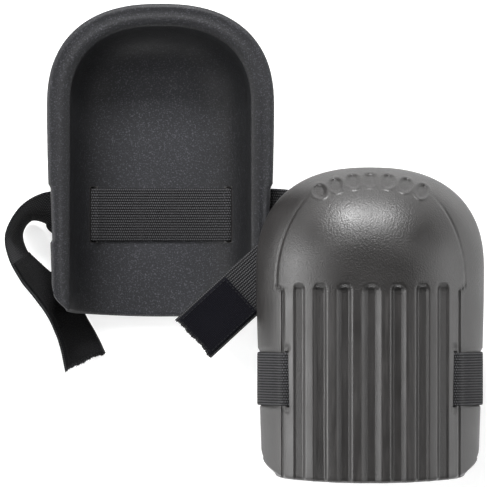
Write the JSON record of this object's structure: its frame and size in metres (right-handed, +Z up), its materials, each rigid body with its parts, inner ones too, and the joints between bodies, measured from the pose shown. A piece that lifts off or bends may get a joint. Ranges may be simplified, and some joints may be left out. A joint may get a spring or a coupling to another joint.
{
  "type": "knee pads",
  "caption": "Pair of moulded foam knee pads with raised knee cap, fluted shin field, open shin end and elastic hook-and-loop straps.",
  "frame": {"origin": "on the floor under the middle of the laid-out pair", "axes": "+Z up; +Y from the pads' open shin ends to their tops; +X from the left pad to the right pad"},
  "size_m": [0.347, 0.344, 0.1226],
  "materials": {
    "foam": "closed-cell moulded foam skin, satin",
    "elastic": "ribbed woven elastic, matt",
    "loop": "brushed loop pile",
    "hook": "fine nylon hooks"
  },
  "bodies": {
    "left_pad": {"left_shell": "foam", "left_strap": "elastic", "left_loop_patch": "loop"},
    "left_loop_tab": {"left_loop_end": "elastic", "left_loop_end_patch": "loop"},
    "left_hook_tab": {"left_hook_end": "elastic", "left_hook_patch": "hook"},
    "right_pad": {"right_shell": "foam", "right_strap": "elastic", "right_loop_patch": "loop"},
    "right_hook_tab": {"right_hook_end": "elastic", "right_hook_patch": "hook"}
  },
  "joints": [
    {"name": "right_pad_lift", "type": "slide", "parent": "left_pad", "child": "right_pad", "axis": [0, 0, 1], "range_m": [0, 0.15]},
    {"name": "left_loop_tab_fold", "type": "hinge", "parent": "left_pad", "child": "left_loop_tab", "pos_m": [-0.12925, -0.05257, 0.01628], "axis": [-0.55, -0.323, 0.7702], "range_deg": [0, 30]},
    {"name": "left_hook_tab_lift", "type": "hinge", "parent": "left_pad", "child": "left_hook_tab", "pos_m": [-0.00547, -0.04066, 0.06156], "axis": [-0.6733, 0.7394, 0], "range_deg": [0, 60]},
    {"name": "right_hook_tab_peel", "type": "hinge", "parent": "right_pad", "child": "right_hook_tab", "pos_m": [0.1208, -0.098, 0.00616], "axis": [0, 1, 0], "range_deg": [0, 60]}
  ]
}
